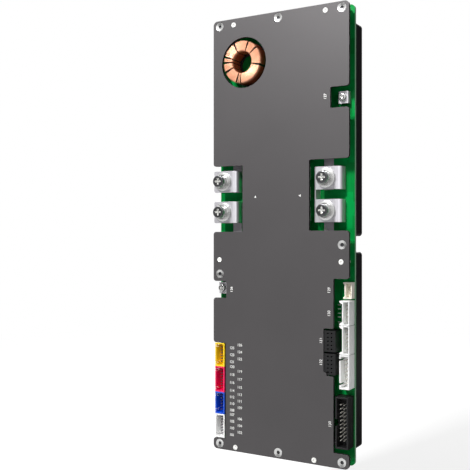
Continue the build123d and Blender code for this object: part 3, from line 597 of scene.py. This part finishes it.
# Spacer pegs: moulded in natural nylon. Each has a body in the gap and a tip through the
# plate and the board, with a sink mark in the end of the tip.
nylon_white = (240, 240, 236)
peg_edge = 0.00015
nylon = surface("natural_nylon", nylon_white, 0.45, grain=0.0003, relief=0.00001,
                patch=0.002, vary=0.02, coat=0.1)
finished("spacer_pegs", "white_nylon", peg_edge, nylon)


# Circuit board: 2 mm glass laminate with green solder resist on both faces. The cut edge
# shows the pale laminate, and the areas of copper under the resist show as lighter squares.
resist_green = (2, 138, 62)
laminate_green = (140, 182, 150)
board_edge = 0.00012
copper_areas_per_metre = 90
copper_area_reach = 0.42
between_copper = (0.72, 0.78, 0.72, 1)

resist = surface("green_solder_resist", resist_green, 0.3, grain=0.0004, relief=0.000004,
                 patch=0.01, vary=0.08, shine=0.1)
nodes = resist.node_tree.nodes
links = resist.node_tree.links
where = nodes["Texture Coordinate"]
areas = nodes.new("ShaderNodeTexVoronoi")
areas.distance = "CHEBYCHEV"
areas.inputs["Scale"].default_value = copper_areas_per_metre
links.new(where.outputs["Object"], areas.inputs["Vector"])
outside = nodes.new("ShaderNodeMath")
outside.operation = "GREATER_THAN"
outside.inputs[1].default_value = copper_area_reach
links.new(areas.outputs["Distance"], outside.inputs[0])
darker = nodes.new("ShaderNodeMix")
darker.data_type = "RGBA"
darker.blend_type = "MULTIPLY"
darker.inputs["B"].default_value = between_copper
links.new(outside.outputs[0], darker.inputs["Factor"])
links.new(nodes["Color Ramp"].outputs["Color"], darker.inputs["A"])
links.new(darker.outputs["Result"], nodes["Principled BSDF"].inputs["Base Color"])
cut_laminate = surface("cut_laminate", laminate_green, 0.6, grain=0.0001, relief=0.00001,
                       patch=0.001, vary=0.1, stretch=(1, 8, 1))
circuit_board = finished("circuit_board", "circuit_board", board_edge, resist, cut_laminate)
show_cut(circuit_board)
board_front_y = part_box("circuit_board")[0].y


# Light places seen in the notches of the plate: patches of painted light on the resist beside
# the power terminals, soldered feet beside the upper signal connector, and a triangle of
# painted light, in the white of the ink, on the right bus bars.
light_patch_green = (16, 225, 100)
solder_white = (226, 240, 226)
pale_height = 0.006
right_pale_width = 0.0028
right_pale_places = [(0.0281, 0.0266), (0.0281, 0.0048)]
left_pale_width = 0.003
left_pale_places = [(-0.0491, 0.0266), (-0.0491, 0.0052)]
foot_width = 0.0021
foot_height = 0.0007
foot_x = 0.04015
foot_rows = [-0.0459, -0.0484, -0.0513, -0.0538, -0.0570]
patch_lift = 0.00001
patch_front = 0.00006
triangle_lift = 0.00003
triangle_corners = [(0.0297, 0.0074), (0.0297, 0.0032), (0.0322, 0.0032)]

painted_light_resist = surface("resist_with_painted_light", light_patch_green, 0.3, grain=0.0004, relief=0.000004,
                      patch=0.004, vary=0.06, shine=0.2)
solder = surface("solder", solder_white, 0.4, metallic=0.1, patch=0.001, vary=0.04)


def oblong(x, z, width, height):
    """The corners of an oblong round a place."""
    return [
        (x - width / 2, z - height / 2),
        (x + width / 2, z - height / 2),
        (x + width / 2, z + height / 2),
        (x - width / 2, z + height / 2),
    ]


def bar(shape, corners, first_y, last_y, tone=0):
    """Add a straight bar with the given corners, from one depth to another."""
    loops = [[shape.verts.new((x, y, z)) for x, z in corners] for y in (first_y, last_y)]
    skin(shape, loops, [tone])


patches = bmesh.new()
# The pale patches are painted light on the resist.
outlines = [(oblong(x, z, right_pale_width, pale_height), 0) for x, z in right_pale_places]
outlines += [(oblong(x, z, left_pale_width, pale_height), 0) for x, z in left_pale_places]
outlines += [(oblong(foot_x, z, foot_width, foot_height), 1) for z in foot_rows]
for corners, tone in outlines:
    bar(patches, corners, board_front_y - patch_lift, board_front_y - patch_front, tone)
bar_front_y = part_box("right_bus_bars")[0].y
# The triangle is painted light on the bus bar, in the white of the ink.
triangle = [patches.verts.new((x, bar_front_y - triangle_lift, z)) for x, z in triangle_corners]
patches.faces.new(triangle).material_index = 2
belongs(made("board_patches", patches, painted_light_resist, solder, white_ink_and_painted_light), "tinned_copper")


# Heatsinks: extruded aluminium, cut to length, drilled and anodised black. The die leaves
# fine lines along the fins.
anodised_black = (24, 23, 25)
heatsink_edge = 0.00025
heatsink_black = surface("black_anodising", anodised_black, 0.45, grain=0.0003, relief=0.000012,
                         patch=0.02, vary=0.12, stretch=(1, 1, 0.04), shine=0.06)
finished("upper_heatsink", "heatsink_black", heatsink_edge, heatsink_black)
finished("lower_heatsink", "heatsink_black", heatsink_edge, heatsink_black)


# Thermal pads: soft silicone sheet filled with ceramic powder, squeezed between the board
# and each heatsink, and between the transistors and the plate.
silicone_grey = (150, 154, 160)
pad_edge = 0.0001
pad_silicone = surface("filled_silicone", silicone_grey, 0.8, grain=0.0002, relief=0.00003,
                       patch=0.004, vary=0.08)
for node in ("upper_thermal_pad", "lower_thermal_pad", "plate_gap_pads"):
    finished(node, "thermal_pad", pad_edge, pad_silicone)


# Heatsink screws: zinc plated steel, driven through the board from the front into the tapped
# heatsinks.
heatsink_screw_edge = 0.00015
finished("heatsink_screws", "steel_fasteners", heatsink_screw_edge, zinc)


# Power terminals: 1.5 mm copper strap, bent, punched and tin plated, soldered to the bus
# bars and the board. The tin is satin, with fine lines from rolling.
tin_grey = (200, 198, 203)
strap_edge = 0.00015
tin = surface("satin_tin", tin_grey, 0.34, metallic=0.6, grain=0.0003,
              relief=0.00001, patch=0.004, vary=0.05, stretch=(1, 1, 0.15))
for node in ("left_upper_terminal", "left_lower_terminal", "right_power_terminal"):
    finished(node, "tinned_copper", strap_edge, tin)


# Bus bars: flat copper bars, dipped in tin and soldered to the face of the board, two on each
# side under the power terminals.
dull_tin_grey = (150, 146, 152)
bar_edge = 0.0001
dull_tin = surface("dull_tin", dull_tin_grey, 0.45, metallic=0.8, grain=0.0003,
                   relief=0.00001, patch=0.004, vary=0.06)
for node in ("left_bus_bars", "right_bus_bars"):
    finished(node, "tinned_copper", bar_edge, dull_tin)


# Power screws: M5 with round heads, zinc plated, with a pressed cross recess and a turned rim.
# The face round the recess is painted darker as shade, and the recess is painted bright as a highlight.
face_shade_grey = (92, 92, 94)
painted_highlight_grey = (232, 232, 230)
m5_radius = 0.0025
m5_pitch = 0.0008
m5_thread_depth = 0.0003
m5_end_radius = 0.0019
m5_neck_radius = 0.0024
m5_end_chamfer = 0.0005
head_back_edge = 0.0002
head_chamfer = 0.00055
head_land = 0.0001
face_dish = 0.00012
chamfer_step = 0.3
recess_width = 0.0013
recess_length = 0.0048
recess_depth = 0.0022
recess_narrowing = 0.7
recess_shortening = 0.8
recess_tip = 0.0001
shaded_head_face = surface("head_face_painted_shade", face_shade_grey, 0.3, metallic=1.0, grain=0.0002,
                    relief=0.00002, patch=0.001, vary=0.15)
painted_highlight_zinc = surface("painted_highlight_zinc", painted_highlight_grey, 0.18, metallic=0.9, patch=0.002, vary=0.03)


def cross(width, length):
    """The reach of a cross-shaped outline at an angle."""
    tip = math.atan(width / length)

    def reach(angle):
        turn = angle % (math.pi / 2)
        turn = min(turn, math.pi / 2 - turn)
        return length / 2 / math.cos(turn) if turn <= tip else width / 2 / math.sin(turn)

    return reach


def cross_angles(width, length):
    """The angles of a cross-shaped outline's corners."""
    tip = math.atan(width / length)
    corners = [tip, math.pi / 4, math.pi / 2 - tip]
    return [corner + quarter * math.pi / 2 for quarter in range(4) for corner in corners]


def recess(mouth_y, face_y, width, length, depth, shortening, tip):
    """Rings of a cross recess: its mouth, a smaller cross farther in, and its tip."""
    return [
        (mouth_y, cross(width, length)),
        (face_y + depth * recess_narrowing, cross(width * recess_narrowing, length * shortening)),
        (face_y + depth, tip),
    ]


power_screws = bmesh.new()
angles = around(screw_steps, cross_angles(recess_width, recess_length))
head_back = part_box("terminal_spring_washers")[0].y
for low, high in solids_of("terminal_screws"):
    x, z = middle(low, high)
    head_radius = (high.x - low.x) / 2
    face_radius = head_radius - head_chamfer
    rings = [(high.y, m5_end_radius)]
    rings += thread_rings(high.y - m5_end_chamfer, head_back + m5_end_chamfer,
                          m5_radius, m5_pitch, m5_thread_depth)
    rings += [
        (head_back, m5_neck_radius),
        (head_back, head_radius - head_back_edge),
        (head_back - head_back_edge, head_radius),
        (low.y + head_chamfer, head_radius),
        (low.y + head_chamfer * chamfer_step, head_radius - head_chamfer * chamfer_step),
        (low.y, face_radius),
        (low.y, face_radius - head_land),
        (low.y + face_dish, face_radius - 2 * head_land),
    ]
    rings += recess(low.y + face_dish, low.y, recess_width, recess_length, recess_depth,
                    recess_shortening, recess_tip)
    # Painted shade on the face round the recess, and a painted highlight in the recess.
    tones = [0] * (len(rings) - 7) + [1, 1, 1, 1, 2, 2, 2]
    turned(power_screws, x, z, rings, angles, tones)
belongs(made("terminal_screws_finished", power_screws, zinc, shaded_head_face, painted_highlight_zinc),
        "steel_fasteners", "terminal_screws")


# Spring washers: square spring steel wire coiled into one turn and cut, so the two ends
# stand apart. They lie under the heads of the power screws.
washer_bore_radius = 0.00275
spring_rise = 0.00025
spring_gap = 0.0009
spring_gap_angle = 72
spring_steps = 60
coils = bmesh.new()
for low, high in solids_of("terminal_spring_washers"):
    # The middle is measured from the right side and the top, which the gap leaves whole.
    outer = (high.z - low.z) / 2
    x = high.x - outer
    z = high.z - outer
    thick = high.y - low.y - spring_rise
    half_gap = spring_gap / 2 / outer
    first = math.radians(spring_gap_angle) + half_gap
    sweep = 2 * math.pi - 2 * half_gap
    sections = []
    for i in range(spring_steps + 1):
        angle = first + sweep * i / spring_steps
        rise = spring_rise * i / spring_steps
        section = []
        for radius, depth in ((outer, 0), (outer, thick), (washer_bore_radius, thick),
                              (washer_bore_radius, 0)):
            corner = (x + radius * math.cos(angle), low.y + rise + depth,
                      z + radius * math.sin(angle))
            section.append(coils.verts.new(corner))
        sections.append(section)
    skin(coils, sections)
belongs(made("terminal_spring_washers_finished", coils, zinc),
        "steel_fasteners", "terminal_spring_washers")


# Flat washers: punched from sheet steel, so the front edge is rounded and the back one
# sharp. They spread the load on the straps.
washer_steps = 64
punched_round = 0.0003
punched_round_depth = 0.00009
punched_round_inset = 0.0001
bore_chamfer = 0.0002
punched = bmesh.new()
for low, high in solids_of("terminal_flat_washers"):
    x, z = middle(low, high)
    outer = (high.x - low.x) / 2
    rings = [
        (high.y, outer),
        (low.y + punched_round, outer),
        (low.y + punched_round_depth, outer - punched_round_inset),
        (low.y, outer - punched_round),
        (low.y, washer_bore_radius + bore_chamfer),
        (low.y + bore_chamfer, washer_bore_radius),
        (high.y, washer_bore_radius),
    ]
    turned(punched, x, z, rings, around(washer_steps), closed=True)
belongs(made("terminal_flat_washers_finished", punched, zinc),
        "steel_fasteners", "terminal_flat_washers")


# Power nuts: M5 hexagon nuts, pressed from steel and zinc plated. The one on each power
# screw pulls the strap against the washers and the head.
nut_edge = 0.0002
finished("terminal_nuts", "steel_fasteners", nut_edge, zinc)


# Small terminals: folded tabs of tinned brass sheet, soldered on their two legs, each with
# an M3 screw and a square nut inside the fold.
tab_edge = 0.0001
square_nut_edge = 0.00012
tab_screw_steps = 40
tab_screw_end_radius = 0.0012
tab_head_round = 0.0008
tab_head_turns = (0, 22, 45, 68, 90)
tab_neck_length = 0.0002
tab_recess_width = 0.0009
tab_recess_length = 0.003
tab_recess_depth = 0.0012
tab_recess_shortening = 0.75
tab_recess_tip = 0.00008
for node in ("battery_sense_terminal", "heater_terminal"):
    finished(node, "tinned_copper", tab_edge, tin)
finished("small_terminal_nuts", "steel_fasteners", square_nut_edge, zinc)
small_screws = bmesh.new()
angles = around(tab_screw_steps, cross_angles(tab_recess_width, tab_recess_length))
head_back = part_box("battery_sense_terminal")[0].y
for low, high in solids_of("small_terminal_screws"):
    x, z = middle(low, high)
    head_radius = (high.x - low.x) / 2
    rings = [(high.y, tab_screw_end_radius)]
    rings += thread_rings(high.y - screw_end_chamfer, head_back + tab_neck_length,
                          m3_radius, m3_pitch, m3_thread_depth)
    rings += [(head_back, m3_radius), (head_back, head_radius)]
    for turn in tab_head_turns:
        out = tab_head_round * math.cos(math.radians(turn))
        up = tab_head_round * math.sin(math.radians(turn))
        rings.append((low.y + tab_head_round - up, head_radius - tab_head_round + out))
    rings += recess(low.y, low.y, tab_recess_width, tab_recess_length, tab_recess_depth,
                    tab_recess_shortening, tab_recess_tip)
    # Painted shade on the face round the recess, and a painted highlight in the recess.
    tones = [0] * (len(rings) - 4) + [1, 2, 2, 2]
    turned(small_screws, x, z, rings, angles, tones)
belongs(made("small_terminal_screws_finished", small_screws, zinc, shaded_head_face, painted_highlight_zinc),
        "steel_fasteners", "small_terminal_screws")


# Ring choke winding: enamelled copper wire, wound closely round a ring in sectors. Behind
# the front of the ring the wire is painted darker as shade, and a dark surface between the turns
# stands for the layer below, painted dark as shade in the grooves.
copper_colour = (228, 168, 134)
deep_shade_copper = (160, 76, 46)
groove_shade_brown = (120, 60, 38)
wire_diameter = 0.00074
wire_share = 0.9
wire_spacing = 1.02
wire_sides = 8
winding_gap = 0.00005
winding_depth = 0.00135
winding_sectors = [
    (-92, -16),
    (-10, 36),
    (42, 66),
    (72, 112),
    (118, 158),
    (164, 174),
    (180, 202),
    (210, 250),
    (256, 264),
]
turn_corner = 0.0007
under_corner = 0.0005
under_depth = 0.45
under_margin = 1
under_step = 4
corner_steps = 4
deep_shade_from = -0.0108
deep_shade_to = -0.0085

copper = surface("enamelled_copper", copper_colour, 0.42, metallic=0.4, grain=0.0005,
                 relief=0.000005, patch=0.004, vary=0.1, coat=0.04)
nodes = copper.node_tree.nodes
links = copper.node_tree.links
# Painted shade: the wire's colour darkens from the front of the ring towards its back.
parts = nodes.new("ShaderNodeSeparateXYZ")
links.new(nodes["Texture Coordinate"].outputs["Object"], parts.inputs["Vector"])
deep = nodes.new("ShaderNodeMapRange")
deep.inputs["From Min"].default_value = deep_shade_from
deep.inputs["From Max"].default_value = deep_shade_to
links.new(parts.outputs["Y"], deep.inputs["Value"])
deep_shade_mix = nodes.new("ShaderNodeMix")
deep_shade_mix.data_type = "RGBA"
deep_shade_mix.inputs["B"].default_value = shade(*deep_shade_copper)
links.new(deep.outputs["Result"], deep_shade_mix.inputs["Factor"])
links.new(nodes["Color Ramp"].outputs["Color"], deep_shade_mix.inputs["A"])
links.new(deep_shade_mix.outputs["Result"], nodes["Principled BSDF"].inputs["Base Color"])
groove_shade = surface("painted_groove_shade", groove_shade_brown, 0.4, patch=0.003, vary=0.1)
core_low, core_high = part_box("choke_core")
choke_x, choke_z = middle(core_low, core_high)
core_outer = (core_high.x - core_low.x) / 2
core_inner = 0.0088


def turn_section(offset, corner):
    """One turn round the core's section: radius and depth of its points, at a distance from it."""
    low_r = core_inner - offset
    high_r = core_outer + offset
    low_y = core_low.y - offset
    high_y = core_high.y + offset
    points = []
    for middle_r, middle_y, first in (
        (high_r - corner, low_y + corner, -90),
        (high_r - corner, high_y - corner, 0),
        (low_r + corner, high_y - corner, 90),
        (low_r + corner, low_y + corner, 180),
    ):
        for i in range(corner_steps + 1):
            angle = math.radians(first + 90 * i / corner_steps)
            points.append((middle_r + corner * math.cos(angle), middle_y + corner * math.sin(angle)))
    return points


def wind(shape, angle, offset, thickness):
    """Add one turn of wire at an angle round the ring."""
    radial = Vector((math.cos(angle), 0, math.sin(angle)))
    along = Vector((-math.sin(angle), 0, math.cos(angle)))
    centre = Vector((choke_x, 0, choke_z))
    spots = [centre + radial * r + Vector((0, y, 0)) for r, y in turn_section(offset, turn_corner)]
    loops = []
    for i, spot in enumerate(spots):
        ahead = (spots[(i + 1) % len(spots)] - spots[i - 1]).normalized()
        out = ahead.cross(along).normalized()
        loop = []
        for side in range(wire_sides):
            turn = 2 * math.pi * side / wire_sides
            reach = (out * math.cos(turn) + along * math.sin(turn)) * thickness / 2
            loop.append(shape.verts.new(spot + reach))
        loops.append(loop)
    skin(shape, loops, closed=True)


wires = bmesh.new()
outer_offset = winding_gap + winding_depth - wire_diameter / 2
wire_angle = wire_diameter * wire_spacing / (core_outer + outer_offset)
for first, last in winding_sectors:
    start = math.radians(first) + wire_angle / 2
    turns = max(int(math.radians(last - first) / wire_angle), 1)
    step = (math.radians(last - first) - wire_angle) / max(turns - 1, 1)
    for i in range(turns):
        wind(wires, start + step * i, outer_offset, wire_diameter * wire_share)
    # The under-surface between the turns is painted dark as shade in the grooves.
    under = turn_section(outer_offset - wire_diameter * under_depth, under_corner)
    steps = max(int((last - first) / under_step), 2)
    sweep = last - first - 2 * under_margin
    loops = []
    for i in range(steps + 1):
        angle = math.radians(first + under_margin + sweep * i / steps)
        loops.append([wires.verts.new((choke_x + r * math.cos(angle), y, choke_z + r * math.sin(angle)))
                      for r, y in under])
    skin(wires, loops, [1] * steps)
belongs(made("choke_winding_finished", wires, copper, groove_shade), "enamelled_copper", "choke_winding")


# Ring choke core: pressed iron powder with a dark coating. It shows only in the gaps between
# the sectors of the winding.
powder_brown = (36, 31, 27)
core_edge = 0.0004
iron_powder = surface("coated_iron_powder", powder_brown, 0.5, grain=0.0003, relief=0.00002,
                      patch=0.003, vary=0.1)
finished("choke_core", "choke_core", core_edge, iron_powder)


# Choke base: a plate moulded in black nylon, on which the ring stands behind the plate's
# round window. It is glued to the face of the board.
nylon_black = (22, 22, 23)
black_plastic_edge = 0.00015
black_plastic = surface("black_nylon", nylon_black, 0.5, grain=0.0003, relief=0.00001,
                        patch=0.004, vary=0.1, shine=0.25)
finished("choke_base", "black_plastic", black_plastic_edge, black_plastic)


# Cell connectors: open housings moulded in four colours, so that each plug finds its own.
# They stand in a row on the board at the left edge, and the outer wall of each has two slots
# with a latch tongue in each.
cell_plastics = {
    "yellow": ((254, 214, 26), "yellow_plastic"),
    "red": ((242, 12, 92), "red_plastic"),
    "blue": ((8, 80, 208), "blue_plastic"),
    "white": ((250, 250, 249), "white_plastic"),
}
housing_edge = 0.00012
tongue_width = 0.001
tongue_thickness = 0.0008
tongue_length = 0.0053
tongue_inset = 0.0025
tongue_clearance = 0.00005
tongue_foot = 0.0003
for colour, (paint, slot) in cell_plastics.items():
    plastic = surface(colour + "_plastic", paint, 0.32, grain=0.0004, relief=0.000008,
                      patch=0.004, vary=0.04, coat=0.2)
    finished(colour + "_cell_connector", slot, housing_edge, plastic)
    low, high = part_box(colour + "_cell_connector")
    tongue_x = low.x + tongue_clearance + tongue_thickness / 2
    tongues = bmesh.new()
    for z in (low.z + tongue_inset, high.z - tongue_inset):
        corners = oblong(tongue_x, z, tongue_thickness, tongue_width)
        bar(tongues, corners, low.y + tongue_length + tongue_foot, low.y + tongue_clearance)
    belongs(made(colour + "_latch_tongues", tongues, plastic), slot)


# Cell connector pins: square wire with tapered tips, cut to length and dull with tin, in a
# row in each cell connector.
pin_tip = 0.0006
pin_tip_share = 0.45


def pointed_pins(node, tip, metal):
    """Square pins with tapered tips, in place of a node's plain ones."""
    shape = bmesh.new()
    for low, high in solids_of(node):
        x, z = middle(low, high)
        width = high.x - low.x
        loops = []
        for depth, share in ((high.y, 1), (low.y + tip, 1), (low.y, pin_tip_share)):
            corners = oblong(x, z, width * share, width * share)
            loops.append([shape.verts.new((a, depth, b)) for a, b in corners])
        skin(shape, loops)
    belongs(made(node + "_finished", shape, metal), "contact_pins", node)


pointed_pins("cell_connector_pins", pin_tip, dull_tin)


# Signal connectors: a low cream housing for the display cable and three white ones below
# it, moulded in nylon that lets some light in. Their pins are bright with tin.
display_cream = (242, 236, 222)
signal_colour = (249, 250, 249)
bright_tin_white = (224, 221, 212)
display_edge = 0.0001
display_pin_tip = 0.0004
light_in_nylon = 0.5
light_reach = 0.002
cream = surface("cream_plastic", display_cream, 0.45, grain=0.0003, patch=0.003, vary=0.03)
signal_white = surface("signal_white", signal_colour, 0.4, grain=0.0003, patch=0.004, vary=0.02,
                       coat=0.15)
shader = signal_white.node_tree.nodes["Principled BSDF"]
shader.inputs["Subsurface Weight"].default_value = light_in_nylon
shader.inputs["Subsurface Radius"].default_value = (1, 1, 1)
shader.inputs["Subsurface Scale"].default_value = light_reach
bright_tin = surface("bright_tin", bright_tin_white, 0.28, metallic=0.6, patch=0.002, vary=0.05)
finished("display_connector", "cream_plastic", display_edge, cream)
for node in ("upper_signal_connector", "middle_signal_connector", "lower_signal_connector"):
    finished(node, "white_plastic", housing_edge, signal_white)
pointed_pins("display_connector_pins", display_pin_tip, bright_tin)
pointed_pins("signal_connector_pins", pin_tip, bright_tin)


# Box header: glass-filled black plastic with a slot for the plug's key, and two rows of ten
# square pins.
finished("data_header", "black_plastic", black_plastic_edge, black_plastic)
pointed_pins("data_header_pins", pin_tip, bright_tin)


# Expansion sockets: black blocks with two rows of square holes, each hole with a metal
# contact inside, painted dark as shade.
contact_edge = 0.00005
for node in ("upper_expansion_socket", "lower_expansion_socket"):
    finished(node, "black_plastic", black_plastic_edge, black_plastic)
finished("expansion_socket_contacts", "contact_pins", contact_edge, socket_shadow)


# Power transistors, chips and resistors: black epoxy mouldings on tinned leads, soldered flat
# on the board behind the plate.
epoxy_black = (36, 36, 37)
moulding_edge = 0.00008
transistor_lead_height = 0.0014
chip_lead_height = 0.00015
resistor_end_height = 0.00005
epoxy = surface("black_epoxy", epoxy_black, 0.5, grain=0.0002, relief=0.00001, patch=0.003, vary=0.08)


def leaded(node, lead_height):
    """A moulded component whose leads, low on the board, are tinned."""
    piece = finished(node, "chip_black", moulding_edge, epoxy, bright_tin)
    for face in piece.data.polygons:
        if face.center.y > board_front_y - lead_height:
            face.material_index = 1


for node in ("charge_transistors", "discharge_transistors"):
    leaded(node, transistor_lead_height)
for node in ("main_controller", "cell_monitor_chips", "isolator_chips", "power_supply_chip"):
    leaded(node, chip_lead_height)
leaded("balance_resistors", resistor_end_height)


# Current shunts: resistance alloy strip, folded into low bridges and soldered to the board
# below the two columns of transistors.
alloy_brown = (170, 150, 132)
shunt_edge = 0.0001
alloy = surface("shunt_alloy", alloy_brown, 0.35, metallic=1.0, patch=0.002, vary=0.08)
finished("current_shunts", "shunt_alloy", shunt_edge, alloy)


# Filter capacitors and the supply's coil: bright drawn cans on their bases, and a block of
# pressed ferrite, soldered to the upper part of the board behind the plate.
can_grey = (200, 200, 202)
ferrite_grey = (70, 70, 72)
can_edge = 0.0002
coil_edge = 0.0003
can = surface("drawn_aluminium", can_grey, 0.3, metallic=1.0, patch=0.002, vary=0.04)
finished("filter_capacitors", "capacitor_can", can_edge, can)
ferrite = surface("pressed_ferrite", ferrite_grey, 0.6, grain=0.0002, relief=0.00003, patch=0.002)
finished("power_coil", "coil_ferrite", coil_edge, ferrite)
